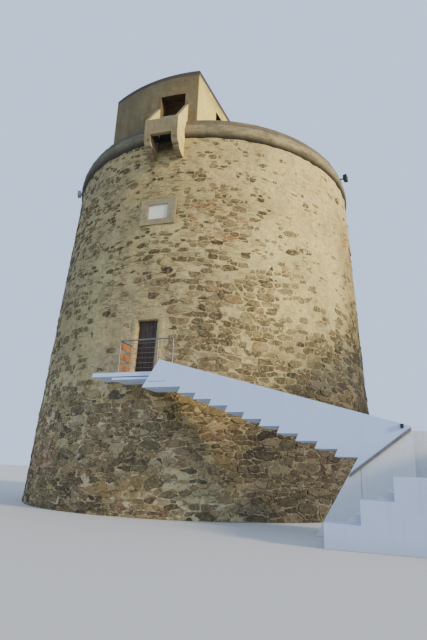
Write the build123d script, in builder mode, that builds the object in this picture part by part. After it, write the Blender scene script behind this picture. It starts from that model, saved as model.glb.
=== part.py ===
from build123d import *
from math import cos, radians, sin, sqrt, tan
import os

os.makedirs("parts", exist_ok=True)

# Round stone watchtower with its terrace guardhouse and its outside stair, in millimetres.
# The origin is on the tower's axis at the lowest ground, +Z up. The door faces -Y,
# and the outside stair runs along X in front of it, coming down towards +X.

# Tower body
base_radius = 6750
batter = 0.055
base_top = 3750
chamber_height = 3650
tower_top = 12690
chamber_radius = 3900
crown_thickness = 1390
vault_rings = 4
floor_thickness = 140
wall_turns = (-50, 58, 112, 180, 248)
lintel_turns = (-20, 30)
joint_gap = 0.3

# Entrance door: a narrow reveal before a wider passage, and a leaf that opens inwards
door_x = 390
door_width = 700
door_height = 1980
reveal_depth = 175
side_rebate_width = 130
head_rebate_height = 150
lintel_bearing_length = 250
leaf_thickness = 56
frame_width = 50
frame_depth = 90
leaf_gap = 8
lock_gap = 10
knuckle_radius = 14
knuckle_height = 110
pin_radius = 8
pin_clearance = 0.5
hinge_offset = 16
strap_length = 320
strap_height = 60
strap_thickness = 8
hinge_levels = (420, 1640)

# Parapet band that rings the terrace: a swelling foot below a face that leans back
band_height = 870
band_lip_depth = 25
band_bulge_depth = 95
band_bulge_foot_height = 150
band_bulge_head_height = 330
band_shoulder_height = 620
band_setback_depth = 92
band_width = 620
terrace_paving_thickness = 140

# Guardhouse on the terrace, flush with the parapet in front; its right side opens to the rear
guard_left = -2300
guard_right = 1405
guard_splay = 4.5
guard_depth = 3610
guard_wall = 380
guard_side_wall = 320
guard_height = 2200
guard_fall = 3.4
roof_thickness = 170
guard_door_setback = 1730
guard_door_width = 850
guard_door_height = 2370

# Lookout box over the door, carried on two stepped corbels; levels count from the tower's top
lookout_turn = 4.2
lookout_projection = 768
lookout_front_rise = 390
lookout_front_drop = 220
lookout_wall = 130
cheek_rise = 720
corbel_width = 225
corbel_step_drop = 600
corbel_foot_drop = 830
corbel_nose_depth = 205
corbel_nose_height = 280
corbel_setback = 30
corbel_lower_face = 60
lookout_opening_width = 980
lookout_opening_height = 2000
guard_pane_height = 1250
pane_thickness = 20
pane_setback = 210

# Blank plaque over the door, in a raised rendered frame
plaque_turn = 3.2
plaque_drop = 3000
plaque_width = 700
plaque_height = 570
plaque_proud = 25
plaque_side_border = 290
plaque_end_border = 215
plaque_frame_proud = 70

# Flood lamps on the parapet band
lamp_turns = (-60, 81)
lamp_rise = 560
lamp_width = 260
lamp_height = 200
lamp_depth = 150
lamp_taper = 8
lamp_stand = 100
lamp_arm = 40

# Upper stair flight: a folded plate between the landing and the half landing
stair_wall_gap = 39
stair_width = 925
plate_thickness = 120
upper_rise = 170.6
upper_going = 449.8
upper_risers = 15
landing_nosing = 1350
fold_thickness = 124
riser_rake = 75
landing_left = -760
landing_thickness = 115
landing_shadow_gap = 30
landing_packing_inset = 150
lower_slab_left = -93
lower_slab_thickness = 65
landing_beam_left = 961

# Plate parapet on the outer side of the upper flight
parapet_left_x = 1440
parapet_left_rise = 309
parapet_right_drop = 1477
parapet_overrun = 157
slot_length = 540
slot_height = 22
slot_depth = 25

# Spine wall with its rail, lower flight, half landing and stepped seat blocks: lengths along X
# count from the half landing's near end
spine_foot_run = 2027
spine_recess = 30
spine_joint_run = 992
spine_joint_width = 14
rail_start_run = 1233
rail_start_rise = 20
rail_end_run = -130
rail_end_rise = 1051
rail_height = 58
rail_proud = 45
lower_risers = 9
lower_going = 209.7
lower_width = 1200
seat_runs = (1597, 917, 307)
seat_depth = 600
risers_per_seat = 3
half_landing_length = 2003
half_parapet_height = 1050
half_parapet_thickness = 120

# Landing railing, its wires and its barrier boards
post_radius = 20
rail_radius = 22
wire_radius = 5
post_places = (50, 1278, 1750)
railing_setback = 60
rail_rise = 955
wire_count = 6
wire_first = 126
wire_spacing = 145
end_post_gap = 104
board_rises = (110, 420, 730)
board_height = 165
board_thickness = 24

# Light fitting near the foot of the upper flight
light_run = 87
light_width = 70
light_depth = 60
light_height = 92
light_drop = 18


def radius_at(height):
    return base_radius - batter * height


def turned_plane(turn):
    """Upright plane through the tower's axis, its x pointing outwards at an angle from -Y."""
    outward = Vector(sin(radians(turn)), -cos(radians(turn)), 0)
    across = Vector(cos(radians(turn)), sin(radians(turn)), 0)
    return Plane(origin=(0, 0, 0), x_dir=outward, z_dir=-across)


def turned_frame(turn, distance=0):
    """Plane facing outwards at an angle from -Y, its x to the right and its y up."""
    outward = Vector(sin(radians(turn)), -cos(radians(turn)), 0)
    across = Vector(cos(radians(turn)), sin(radians(turn)), 0)
    return Plane(origin=outward * distance, x_dir=across, z_dir=outward)


def save(piece, name):
    piece.part.label = name
    export_step(piece.part, f"parts/{name}.step")


def box_between(low, high, mode=Mode.ADD):
    """Box from its lowest to its highest corner, in the open part."""
    with Locations([tuple((a + b) / 2 for a, b in zip(low, high))]):
        Box(*[b - a for a, b in zip(low, high)], mode=mode)


def turn_profile(points, start, end, mode=Mode.ADD):
    """Outline of radius and height, turned about the tower's axis between two angles from -Y."""
    with BuildSketch(turned_plane(start)) as profile:
        Polygon(*points, align=None)
    revolve(profile.sketch, axis=Axis.Z, revolution_arc=end - start, mode=mode)


def push_profile(points, plane, amount, mode=Mode.ADD):
    """Outline on a plane, pushed along the plane's normal."""
    with BuildSketch(plane) as profile:
        Polygon(*points, align=None)
    extrude(profile.sketch, amount=amount, mode=mode)


def cut_to_tower(grow):
    """Cut away what lies inside the tower's sloping face, moved outwards a little."""
    turn_profile(
        (
            (0, 0),
            (radius_at(0) + grow, 0),
            (radius_at(tower_top) + grow, tower_top),
            (0, tower_top),
        ),
        0,
        360,
        Mode.SUBTRACT,
    )


# Levels and lines that several pieces share
outside = 2 * base_radius
spring_level = base_top + chamber_height
floor_level = base_top + floor_thickness
door_top = floor_level + door_height
passage_width = door_width + 2 * side_rebate_width
passage_top = door_top + head_rebate_height
passage_left = door_x - passage_width / 2
passage_right = door_x + passage_width / 2
reveal_left = door_x - door_width / 2
reveal_right = door_x + door_width / 2
door_radius = radius_at(floor_level + door_height / 2)
rebate_y = reveal_depth - sqrt(door_radius**2 - door_x**2)
landing_level = floor_level
band_top = tower_top + band_height
band_radius = radius_at(tower_top)
band_inner = band_radius - band_width
guard_face_radius = band_radius - band_setback_depth
terrace_level = tower_top + terrace_paving_thickness

# Tower base, solid masonry up to the chamber floor
with BuildPart() as tower_base:
    turn_profile(((0, 0), (radius_at(0), 0), (radius_at(base_top), base_top), (0, base_top)), 0, 360)
save(tower_base, "tower_base")

# Chamber walls: six segments, with the passage behind the door cut between the front two, which
# run on under the lintel block as far as the passage's sides
wall_outline = (
    (chamber_radius, base_top),
    (radius_at(base_top), base_top),
    (radius_at(spring_level), spring_level),
    (chamber_radius, spring_level),
)
with BuildPart() as wall_front_left:
    turn_profile(wall_outline, wall_turns[0], lintel_turns[1])
    box_between((reveal_left, -outside, base_top), (outside, rebate_y, spring_level), Mode.SUBTRACT)
    box_between((passage_left, rebate_y, base_top), (outside, 0, spring_level), Mode.SUBTRACT)
    box_between(
        (passage_left - lintel_bearing_length, -outside, door_top),
        (outside, 0, spring_level),
        Mode.SUBTRACT,
    )
save(wall_front_left, "wall_front_left")

with BuildPart() as wall_front_right:
    turn_profile(wall_outline, lintel_turns[0], wall_turns[1])
    box_between((-outside, -outside, base_top), (reveal_right, rebate_y, spring_level), Mode.SUBTRACT)
    box_between((-outside, rebate_y, base_top), (passage_right, 0, spring_level), Mode.SUBTRACT)
    box_between(
        (-outside, -outside, door_top),
        (passage_right + lintel_bearing_length, 0, spring_level),
        Mode.SUBTRACT,
    )
save(wall_front_right, "wall_front_right")

with BuildPart() as wall_over_door:
    turn_profile(wall_outline, *lintel_turns)
    box_between(
        (passage_left - lintel_bearing_length, -outside, door_top),
        (passage_right + lintel_bearing_length, 0, spring_level),
        Mode.INTERSECT,
    )
    box_between((passage_left, rebate_y, door_top), (passage_right, 0, passage_top), Mode.SUBTRACT)
save(wall_over_door, "wall_over_door")

wall_names = ("wall_right", "wall_rear_right", "wall_rear_left", "wall_left")
wall_ends = wall_turns[1:] + (wall_turns[0] + 360,)
for name, start, end in zip(wall_names, wall_ends, wall_ends[1:]):
    with BuildPart() as wall:
        turn_profile(wall_outline, start, end)
    save(wall, name)

# Chamber floor, with its tongue through the passage to the door sill
with BuildPart() as chamber_floor:
    with BuildSketch(Plane.XY.offset(base_top)) as floor_outline:
        Circle(chamber_radius - joint_gap)
    extrude(amount=floor_thickness)
    box_between((passage_left, rebate_y, base_top), (passage_right, 0, floor_level))
    box_between((reveal_left, -outside, base_top), (reveal_right, rebate_y, floor_level))
    turn_profile(
        (
            (0, base_top),
            (radius_at(base_top), base_top),
            (radius_at(floor_level), floor_level),
            (0, floor_level),
        ),
        0,
        360,
        Mode.INTERSECT,
    )
save(chamber_floor, "chamber_floor")

# Upper tower: the mass over the chamber, with the domed vault hollowed out of its underside
crown_level = tower_top - crown_thickness
vault_outline = []
for ring in range(vault_rings):
    rise = radians(90 * ring / vault_rings)
    height = spring_level + (crown_level - spring_level) * sin(rise)
    vault_outline.append((chamber_radius * cos(rise), height))
with BuildPart() as upper_tower:
    turn_profile(
        (
            *vault_outline,
            (0, crown_level),
            (0, tower_top),
            (radius_at(tower_top), tower_top),
            (radius_at(spring_level), spring_level),
        ),
        0,
        360,
    )
save(upper_tower, "upper_tower")

# Terrace paving inside the parapet band
with BuildPart() as terrace_paving:
    with BuildSketch(Plane.XY.offset(tower_top)):
        Circle(band_inner - joint_gap)
    extrude(amount=terrace_paving_thickness)
save(terrace_paving, "terrace_paving")

# Lookout opening in the band and the guardhouse front, in line with the lookout box
lookout_frame = turned_frame(lookout_turn, 0)
opening_half = lookout_opening_width / 2
lookout_half = opening_half + lookout_wall
lookout_reach = band_radius + lookout_projection
lookout_front_top = tower_top + lookout_front_rise
lookout_front_bottom = tower_top - lookout_front_drop
lookout_opening_top = terrace_level + lookout_opening_height
cheek_wall_top = band_top + cheek_rise


def cut_lookout_opening(half_width, low, high):
    """Upright cut through the front of the band and the guardhouse."""
    with BuildSketch(lookout_frame) as opening:
        Polygon((-half_width, low), (half_width, low), (half_width, high), (-half_width, high), align=None)
    extrude(opening.sketch, amount=outside, mode=Mode.SUBTRACT)


# Parapet band in five lengths, open at the lookout
band_outline = (
    (band_inner, tower_top),
    (band_radius + band_lip_depth, tower_top),
    (band_radius + band_bulge_depth, tower_top + band_bulge_foot_height),
    (band_radius + band_bulge_depth, tower_top + band_bulge_head_height),
    (band_radius + band_lip_depth, tower_top + band_shoulder_height),
    (guard_face_radius, band_top),
    (band_inner, band_top),
)
band_parts = (
    ("parapet_front_left", -62, lookout_turn),
    ("parapet_front_right", lookout_turn, 70),
    ("parapet_right", 70, 142),
    ("parapet_rear", 142, 226),
    ("parapet_left", 226, 298),
)
for name, start, end in band_parts:
    with BuildPart() as band:
        turn_profile(band_outline, start, end)
        if "front" in name:
            cut_lookout_opening(lookout_half + joint_gap, tower_top, band_top)
    save(band, name)

# Guardhouse walls: the front one is curved with the band, and all four meet the falling roof
guard_top = band_top + guard_height
guard_rear = guard_depth - guard_face_radius
guard_door_front = guard_door_setback - guard_face_radius
roof_plane = Plane(origin=(0, 0, guard_top), z_dir=(-sin(radians(guard_fall)), 0, cos(radians(guard_fall))))
wall_plane = roof_plane.offset(-roof_thickness)
guard_ceiling = guard_top + outside * sin(radians(guard_fall))
inner_face_radius = guard_face_radius - guard_wall


def cut_above(plane):
    """Cut away what stands over a slanted plane."""
    split(bisect_by=plane, keep=Keep.BOTTOM)


def right_side(y, inset=0):
    """Place along X of the guardhouse's right side, or of a line inside it."""
    return guard_right - inset + (y + guard_face_radius) * tan(radians(guard_splay))


def side_outline(inset):
    """Plan of the guardhouse between its two sides, each moved in."""
    return (
        (guard_left + inset, -outside),
        (right_side(-outside, inset), -outside),
        (right_side(guard_rear, inset), guard_rear),
        (guard_left + inset, guard_rear),
    )


with BuildPart() as guardhouse_front:
    with BuildSketch(Plane.XY.offset(band_top)):
        Circle(guard_face_radius)
        Circle(inner_face_radius, mode=Mode.SUBTRACT)
        Polygon(*side_outline(0), align=None, mode=Mode.INTERSECT)
    extrude(amount=guard_ceiling - band_top)
    cut_above(wall_plane)
    cut_lookout_opening(opening_half, tower_top, lookout_opening_top)
save(guardhouse_front, "guardhouse_front")


def side_wall(inner_side, outer_side):
    """Side wall of the guardhouse, standing on the paving behind the band and the front wall."""
    with BuildSketch(Plane.XY.offset(terrace_level)) as wall_plan:
        Polygon(*inner_side, *reversed(outer_side), align=None)
        Circle(inner_face_radius, mode=Mode.INTERSECT)
    extrude(wall_plan.sketch, amount=guard_ceiling - terrace_level)
    with BuildSketch(Plane.XY.offset(terrace_level)) as band_ring:
        Circle(outside)
        Circle(band_inner, mode=Mode.SUBTRACT)
    extrude(band_ring.sketch, amount=band_top - terrace_level, mode=Mode.SUBTRACT)
    cut_above(wall_plane)


outer_front_left, outer_front_right, outer_rear_right, outer_rear_left = side_outline(0)
inner_front_left, inner_front_right, inner_rear_right, inner_rear_left = side_outline(guard_side_wall)
with BuildPart() as guardhouse_left:
    side_wall((inner_front_left, inner_rear_left), (outer_front_left, outer_rear_left))
save(guardhouse_left, "guardhouse_left")

with BuildPart() as guardhouse_right:
    side_wall((inner_front_right, inner_rear_right), (outer_front_right, outer_rear_right))
    box_between(
        (0, guard_door_front, terrace_level),
        (outside, guard_door_front + guard_door_width, terrace_level + guard_door_height),
        Mode.SUBTRACT,
    )
save(guardhouse_right, "guardhouse_right")

rear_inner_y = guard_rear - guard_side_wall
with BuildPart() as guardhouse_rear:
    with BuildSketch(Plane.XY.offset(terrace_level)):
        Polygon(
            inner_rear_left,
            inner_rear_right,
            (right_side(rear_inner_y, guard_side_wall), rear_inner_y),
            (guard_left + guard_side_wall, rear_inner_y),
            align=None,
        )
    extrude(amount=guard_ceiling - terrace_level)
    cut_above(wall_plane)
save(guardhouse_rear, "guardhouse_rear")

with BuildPart() as guardhouse_roof:
    with BuildSketch(Plane.XY.offset(band_top)):
        Circle(guard_face_radius)
        Polygon(*side_outline(0), align=None, mode=Mode.INTERSECT)
    extrude(amount=guard_ceiling - band_top)
    cut_above(roof_plane)
    split(bisect_by=wall_plane, keep=Keep.TOP)
save(guardhouse_roof, "guardhouse_roof")

# Glass guard low in the lookout opening
pane_plane = lookout_frame.offset(guard_face_radius - pane_setback)
guard_pane_top = terrace_level + guard_pane_height
with BuildPart() as lookout_pane:
    push_profile(
        (
            (-opening_half, terrace_level),
            (opening_half, terrace_level),
            (opening_half, guard_pane_top),
            (-opening_half, guard_pane_top),
        ),
        pane_plane,
        pane_thickness,
    )
save(lookout_pane, "lookout_pane")

# Lookout box: a front wall between two cheeks that rise back to the guardhouse wall
with BuildPart() as lookout_front:
    push_profile(
        (
            (-opening_half, lookout_front_bottom),
            (opening_half, lookout_front_bottom),
            (opening_half, lookout_front_top),
            (-opening_half, lookout_front_top),
        ),
        lookout_frame.offset(lookout_reach - lookout_wall),
        lookout_wall,
    )
save(lookout_front, "lookout_front")


def lookout_side(side):
    """Upright plane of the lookout's outer face, on its left or its right."""
    return Plane(
        origin=lookout_frame.x_dir * side * lookout_half,
        x_dir=lookout_frame.z_dir,
        z_dir=-lookout_frame.x_dir,
    )


with BuildPart() as lookout_cheeks:
    for side in (-1, 1):
        push_profile(
            (
                (lookout_reach, lookout_front_bottom),
                (lookout_reach, lookout_front_top),
                (guard_face_radius, cheek_wall_top),
                (inner_face_radius, cheek_wall_top),
                (inner_face_radius, band_top),
                (band_inner, band_top),
                (band_inner, lookout_front_bottom),
            ),
            lookout_side(side),
            side * lookout_wall,
        )
    cut_to_tower(joint_gap)
    with Locations((0, 0, band_top)):
        Cylinder(
            guard_face_radius + joint_gap,
            guard_top - band_top,
            align=(Align.CENTER, Align.CENTER, Align.MIN),
            mode=Mode.SUBTRACT,
        )
save(lookout_cheeks, "lookout_cheeks")

# Corbels under the lookout, each of two stones with a rounded nose
corbel_step = tower_top - corbel_step_drop
corbel_foot = tower_top - corbel_foot_drop
corbel_root = radius_at(corbel_foot)
upper_stone_root = lookout_reach - corbel_nose_depth
lower_stone_reach = upper_stone_root - corbel_setback
lower_nose_level = corbel_step - corbel_lower_face
with BuildPart() as corbels:
    for side in (-1, 1):
        with BuildSketch(lookout_side(side)) as corbel:
            with BuildLine():
                Polyline(
                    (band_inner, corbel_foot),
                    (band_inner, lookout_front_bottom),
                    (lookout_reach, lookout_front_bottom),
                    (lookout_reach, corbel_step + corbel_nose_height),
                )
                EllipticalCenterArc(
                    (upper_stone_root, corbel_step + corbel_nose_height),
                    corbel_nose_depth,
                    corbel_nose_height,
                    start_angle=270,
                )
                Polyline(
                    (upper_stone_root, corbel_step),
                    (lower_stone_reach, corbel_step),
                    (lower_stone_reach, lower_nose_level),
                )
                EllipticalCenterArc(
                    (corbel_root, lower_nose_level),
                    lower_stone_reach - corbel_root,
                    lower_nose_level - corbel_foot,
                    start_angle=270,
                )
                Line((corbel_root, corbel_foot), (band_inner, corbel_foot))
            make_face()
        extrude(corbel.sketch, amount=side * corbel_width)
    cut_to_tower(joint_gap)
save(corbels, "corbels")

# Blank plaque let into its raised frame
plaque_frame_plane = turned_frame(plaque_turn)
plaque_level = tower_top - plaque_drop
frame_half_width = plaque_width / 2 + plaque_side_border
frame_half_height = plaque_height / 2 + plaque_end_border
plaque_face = radius_at(plaque_level + frame_half_height)


def sloping_slab(half_width, half_height, proud):
    """Upright slab on the tower's face whose front follows the batter."""
    low, high = plaque_level - half_height, plaque_level + half_height
    side = Plane(
        origin=plaque_frame_plane.x_dir * -half_width,
        x_dir=plaque_frame_plane.z_dir,
        z_dir=-plaque_frame_plane.x_dir,
    )
    outline = (
        (plaque_face - proud, low),
        (radius_at(low) + proud, low),
        (radius_at(high) + proud, high),
        (plaque_face - proud, high),
    )
    push_profile(outline, side, -2 * half_width)


with BuildPart() as plaque:
    sloping_slab(plaque_width / 2, plaque_height / 2, plaque_proud)
    cut_to_tower(joint_gap)
save(plaque, "plaque")

with BuildPart() as plaque_frame:
    sloping_slab(frame_half_width, frame_half_height, plaque_frame_proud)
    push_profile(
        (
            (-plaque_width / 2 - joint_gap, plaque_level - plaque_height / 2 - joint_gap),
            (plaque_width / 2 + joint_gap, plaque_level - plaque_height / 2 - joint_gap),
            (plaque_width / 2 + joint_gap, plaque_level + plaque_height / 2 + joint_gap),
            (-plaque_width / 2 - joint_gap, plaque_level + plaque_height / 2 + joint_gap),
        ),
        plaque_frame_plane,
        outside,
        Mode.SUBTRACT,
    )
    cut_to_tower(joint_gap)
save(plaque_frame, "plaque_frame")

# Timber door frame behind the rebate, with the pins that the leaf hangs on
hinge_x = passage_left + frame_width
frame_back = rebate_y + frame_depth
hinge_y = frame_back + hinge_offset
clear_width = passage_width - 2 * frame_width
clear_top = passage_top - frame_width
pin_length = knuckle_height + 2 * strap_height

with BuildPart() as door_frame:
    box_between((passage_left, rebate_y, floor_level), (passage_right, frame_back, passage_top))
    box_between(
        (hinge_x, rebate_y, floor_level), (hinge_x + clear_width, frame_back, clear_top), Mode.SUBTRACT
    )
    for level in hinge_levels:
        middle = floor_level + level
        with Locations((hinge_x, hinge_y, middle)):
            Cylinder(pin_radius, pin_length)
        for side in (-1, 1):
            bracket_middle = middle + side * (knuckle_height / 2 + strap_height / 2 + pin_clearance)
            with Locations((hinge_x, hinge_y, bracket_middle)):
                Cylinder(knuckle_radius, strap_height - 2 * pin_clearance)
            box_between(
                (passage_left, frame_back, bracket_middle - strap_height / 2 + pin_clearance),
                (hinge_x, frame_back + strap_thickness, bracket_middle + strap_height / 2 - pin_clearance),
            )
save(door_frame, "door_frame")

# Entrance door leaf with its strap hinges
leaf_left = hinge_x + leaf_gap
leaf_right = hinge_x + clear_width - lock_gap
leaf_low = floor_level + leaf_gap
leaf_top = clear_top - leaf_gap
with BuildPart() as entrance_door:
    box_between((leaf_left, frame_back - leaf_thickness, leaf_low), (leaf_right, frame_back, leaf_top))
    for level in hinge_levels:
        middle = floor_level + level
        box_between(
            (hinge_x, frame_back, middle - strap_height / 2),
            (hinge_x + strap_length, frame_back + strap_thickness, middle + strap_height / 2),
        )
        with Locations((hinge_x, hinge_y, middle)):
            Cylinder(knuckle_radius, knuckle_height)
            Cylinder(pin_radius + pin_clearance, knuckle_height, mode=Mode.SUBTRACT)
save(entrance_door, "entrance_door")

# Flood lamps on short arms from the band's face
lamp_level = tower_top + lamp_rise
arm_length = 2 * band_bulge_depth + lamp_stand
band_clearance = [(radius + joint_gap, level) for radius, level in band_outline[1:-1]]
with BuildPart() as flood_lamps:
    for turn in lamp_turns:
        arm_plane = turned_frame(turn, band_radius - band_bulge_depth)
        with BuildSketch(arm_plane) as arm:
            with Locations((0, lamp_level)):
                Rectangle(lamp_arm, lamp_arm)
        extrude(arm.sketch, amount=arm_length + lamp_depth / 2)
        with BuildSketch(arm_plane.offset(arm_length)) as housing:
            with Locations((0, lamp_level)):
                Rectangle(lamp_width, lamp_height)
        extrude(housing.sketch, amount=lamp_depth, taper=-lamp_taper)
    turn_profile(((0, tower_top), *band_clearance, (0, band_top)), 0, 360, Mode.SUBTRACT)
save(flood_lamps, "flood_lamps")

# Upper flight: tread levels, nosings and the folded underside
flight_rear = -radius_at(landing_level) - stair_wall_gap
stair_front = flight_rear - stair_width
flight_front = stair_front + plate_thickness
half_landing_level = landing_level - upper_rise * upper_risers
half_landing_start = landing_nosing + upper_going * (upper_risers - 1)
treads = range(1, upper_risers)


def tread_level(tread):
    return landing_level - upper_rise * tread


def nosing_x(tread):
    return landing_nosing + upper_going * tread


def tooth_corner(tread):
    """Lower corner of the fold under a tread."""
    return nosing_x(tread) - fold_thickness, tread_level(tread) - fold_thickness


parapet_left_top = landing_level + parapet_left_rise
parapet_right_top = landing_level - parapet_right_drop
parapet_right_x = half_landing_start + parapet_overrun
spine_foot_x = half_landing_start - spine_foot_run
spine_joint_x = half_landing_start - spine_joint_run
rail_start = (half_landing_start - rail_start_run, half_landing_level + rail_start_rise)
rail_end = (half_landing_start - rail_end_run, half_landing_level + rail_end_rise)
beam_low = tread_level(2) - fold_thickness
beam_high = tread_level(1) - fold_thickness
left_slant = (parapet_left_x - landing_beam_left) / (parapet_left_top - beam_low)
flight_plane = Plane.XZ.offset(-flight_front)
fold_top = [(landing_nosing - riser_rake, tread_level(1))]
for tread in treads:
    fold_top.append((nosing_x(tread), tread_level(tread)))
    if tread < upper_risers - 1:
        fold_top.append((nosing_x(tread) - riser_rake, tread_level(tread + 1)))
fold_end = [
    (half_landing_start, half_landing_level - fold_thickness),
    (half_landing_start - fold_thickness, half_landing_level - fold_thickness),
]
fold_under = []
for tread in reversed(treads[1:]):
    corner_x, corner_z = tooth_corner(tread)
    fold_under.append((corner_x, corner_z))
    fold_under.append((nosing_x(tread - 1) - fold_thickness - riser_rake, corner_z))
packing_left = landing_beam_left + left_slant * (beam_high - beam_low)
beam_end = [(landing_beam_left, beam_low), (packing_left, beam_high), (packing_left, tread_level(1))]
slab_high = landing_level - landing_thickness - landing_shadow_gap

with BuildPart() as upper_flight:
    push_profile(fold_top + fold_end + fold_under + beam_end, flight_plane, flight_front - flight_rear)
    box_between(
        (lower_slab_left, flight_front, slab_high - lower_slab_thickness),
        (landing_nosing - riser_rake, flight_rear, slab_high),
    )
    box_between(
        (landing_beam_left, flight_front + landing_packing_inset, slab_high),
        (
            landing_nosing - riser_rake,
            flight_rear - landing_packing_inset,
            landing_level - landing_thickness,
        ),
    )
save(upper_flight, "upper_flight")

# Landing slab, its rear edge following the tower's wall
with BuildPart() as landing_slab:
    box_between(
        (landing_left, flight_front, landing_level - landing_thickness),
        (landing_nosing, -base_radius / 2, landing_level),
    )
    cut_to_tower(joint_gap)
save(landing_slab, "landing_slab")

# Stair parapet: a flat plate with the folds' teeth along its lower edge
front_plane = Plane.XZ.offset(-stair_front)
last_corner = tooth_corner(upper_risers - 3)
edge_run = (last_corner[0] - spine_foot_x) / last_corner[1]
rail_slope = (rail_end[1] - rail_start[1]) / (rail_end[0] - rail_start[0])
plate_outline = [
    (landing_beam_left, beam_low),
    (parapet_left_x, parapet_left_top),
    (parapet_right_x, parapet_right_top),
    (spine_foot_x + edge_run * rail_start[1], rail_start[1]),
]
for tread in range(upper_risers - 3, 1, -1):
    corner_x, corner_z = tooth_corner(tread)
    plate_outline.append((corner_x, corner_z))
    if tread > 2:
        plate_outline.append((nosing_x(tread - 1) - fold_thickness - riser_rake, corner_z))

with BuildPart() as stair_parapet:
    push_profile(plate_outline, front_plane, -plate_thickness)
    box_between(
        (packing_left + riser_rake, stair_front, beam_high - slot_height),
        (packing_left + riser_rake + slot_length, stair_front + slot_depth, beam_high),
        Mode.SUBTRACT,
    )
save(stair_parapet, "stair_parapet")

# Spine wall under the plate, a little recessed, with its upright joint
spine_plane = front_plane.offset(-spine_recess)
with BuildPart() as spine_wall:
    push_profile(
        (
            (spine_foot_x, 0),
            (half_landing_start, 0),
            (half_landing_start, half_landing_level),
            (parapet_right_x, half_landing_level),
            (parapet_right_x, parapet_right_top),
            (spine_foot_x + edge_run * rail_start[1], rail_start[1]),
        ),
        spine_plane,
        spine_recess - plate_thickness,
    )
    box_between(
        (spine_joint_x, stair_front, 0),
        (spine_joint_x + spine_joint_width, stair_front + spine_recess + slot_depth, parapet_right_top),
        Mode.SUBTRACT,
    )
save(spine_wall, "spine_wall")

# Rail along the lower flight, under the plate's sloping edge
with BuildPart() as stair_rail:
    drop = rail_height * sqrt(1 + rail_slope**2)
    push_profile(
        (
            rail_start,
            rail_end,
            (rail_end[0], rail_end[1] - drop),
            (rail_start[0], rail_start[1] - drop),
        ),
        spine_plane,
        rail_proud,
    )
save(stair_rail, "stair_rail")

# Lower flight, solid steps between the spine wall and the seat blocks
lower_rise = half_landing_level / lower_risers
lower_start = half_landing_start - lower_going * (lower_risers - 1)
seat_rear = stair_front - lower_width
seat_front = seat_rear - seat_depth
spine_face = stair_front + spine_recess
stair_right = half_landing_start + half_landing_length
step_outline = [(half_landing_start, 0), (lower_start, 0)]
for riser in range(lower_risers - 1):
    step_outline.append((lower_start + lower_going * riser, lower_rise * (riser + 1)))
    step_outline.append((lower_start + lower_going * (riser + 1), lower_rise * (riser + 1)))
with BuildPart() as lower_flight:
    push_profile(step_outline, Plane.XZ.offset(-seat_rear), seat_rear - spine_face)
save(lower_flight, "lower_flight")

# Half landing, solid down to the ground
with BuildPart() as half_landing:
    box_between((half_landing_start, seat_rear, 0), (stair_right, flight_rear, half_landing_level))
save(half_landing, "half_landing")

# Seat blocks in front of the lower flight and the half landing
seat_ends = [half_landing_start - run for run in seat_runs] + [stair_right]
for number, (left, right) in enumerate(zip(seat_ends, seat_ends[1:]), start=1):
    with BuildPart() as seat_block:
        box_between((left, seat_front, 0), (right, seat_rear, lower_rise * risers_per_seat * number))
    save(seat_block, f"seat_block_{number}")

# Parapet round the far side and the end of the half landing
with BuildPart() as half_landing_parapet:
    half_parapet_top = half_landing_level + half_parapet_height
    box_between(
        (half_landing_start, flight_rear - half_parapet_thickness, half_landing_level),
        (stair_right, flight_rear, half_parapet_top),
    )
    box_between(
        (stair_right - half_parapet_thickness, seat_front, half_landing_level),
        (stair_right, flight_rear, half_parapet_top),
    )
save(half_landing_parapet, "half_landing_parapet")

# Landing railing: posts, top rail and wires
railing_y = flight_front + railing_setback
rail_level = landing_level + rail_rise
post_feet = (landing_level, landing_level, tread_level(1))
with BuildPart() as landing_railing:
    for place, foot in zip(post_places, post_feet):
        with Locations((place, railing_y, (foot + rail_level) / 2)):
            Cylinder(post_radius, rail_level - foot)
    rail_middle = (post_places[0] + post_places[-1]) / 2
    rail_span = post_places[-1] - post_places[0]
    with Locations(Location((rail_middle, railing_y, rail_level), (0, 90, 0))):
        Cylinder(rail_radius, rail_span + 2 * rail_radius)
    for wire in range(wire_count):
        wire_level = landing_level + wire_first + wire_spacing * wire
        with Locations(Location((rail_middle, railing_y, wire_level), (0, 90, 0))):
            Cylinder(wire_radius, rail_span)
save(landing_railing, "landing_railing")

# End railing from the front post to a post near the wall
end_post_y = -radius_at(landing_level) - end_post_gap
with BuildPart() as end_railing:
    with Locations((post_places[0], end_post_y, (landing_level + rail_level) / 2)):
        Cylinder(post_radius, rail_level - landing_level)
    rail_front = railing_y + rail_radius + joint_gap
    rail_rear = end_post_y + rail_radius
    with Locations(Location((post_places[0], (rail_front + rail_rear) / 2, rail_level), (90, 0, 0))):
        Cylinder(rail_radius, rail_rear - rail_front)
save(end_railing, "end_railing")

# Barrier boards across the end railing
with BuildPart() as barrier_boards:
    for rise in board_rises:
        box_between(
            (post_places[0] - board_thickness / 2, railing_y + post_radius, landing_level + rise),
            (
                post_places[0] + board_thickness / 2,
                end_post_y - post_radius,
                landing_level + rise + board_height,
            ),
        )
save(barrier_boards, "barrier_boards")

# Light fitting on the face of the stair parapet
light_x = half_landing_start - light_run
parapet_slope = (parapet_left_top - parapet_right_top) / (parapet_right_x - parapet_left_x)
light_top = parapet_right_top + (parapet_right_x - light_x) * parapet_slope - light_drop
with BuildPart() as wall_light:
    box_between(
        (light_x, stair_front - light_depth, light_top - light_height),
        (light_x + light_width, stair_front, light_top),
    )
save(wall_light, "wall_light")
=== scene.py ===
"""Dressed watchtower: stones, render, timber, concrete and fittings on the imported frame."""

import math

import bpy
import numpy as np
from mathutils import Matrix, Vector


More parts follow.
